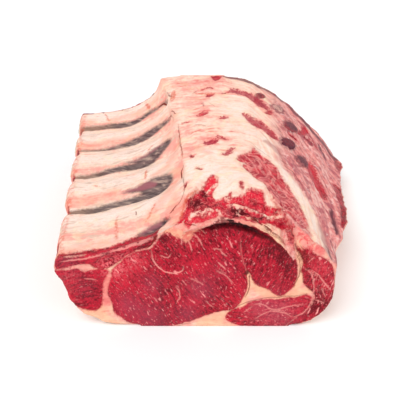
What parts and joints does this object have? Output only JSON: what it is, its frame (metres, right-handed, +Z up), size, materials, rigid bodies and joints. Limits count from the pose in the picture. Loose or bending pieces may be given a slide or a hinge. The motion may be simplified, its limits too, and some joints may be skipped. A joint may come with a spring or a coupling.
{
  "type": "raw beef forerib rack on the bone",
  "caption": "Raw bone-in beef forerib rack with rib bones, sawn backbone slope, cut rib-eye face and fat cap, lying on its fat side.",
  "frame": {"origin": "on the table under the middle of the bounding box", "axes": "+Z up, -Y towards the cut face with the rib eye, -X towards the sawn rib ends, +X towards the sawn backbone slope"},
  "size_m": [0.3438, 0.3006, 0.1387],
  "materials": {
    "flesh": "moist raw beef with cream fat and fine marbling; leather stands for meat",
    "rib_bone": "pale pink bone, sawn end with red marrow",
    "chine_bone": "dark red marrow of a sawn bone end, moist"
  },
  "bodies": {
    "root": {"meat": "flesh", "rib_1": "rib_bone", "rib_2": "rib_bone", "rib_3": "rib_bone", "rib_4": "rib_bone", "rib_5": "rib_bone", "chine_bone_1": "chine_bone", "chine_bone_2": "chine_bone", "chine_bone_3": "chine_bone", "chine_bone_4": "chine_bone", "chine_bone_5": "chine_bone"}
  },
  "joints": []
}
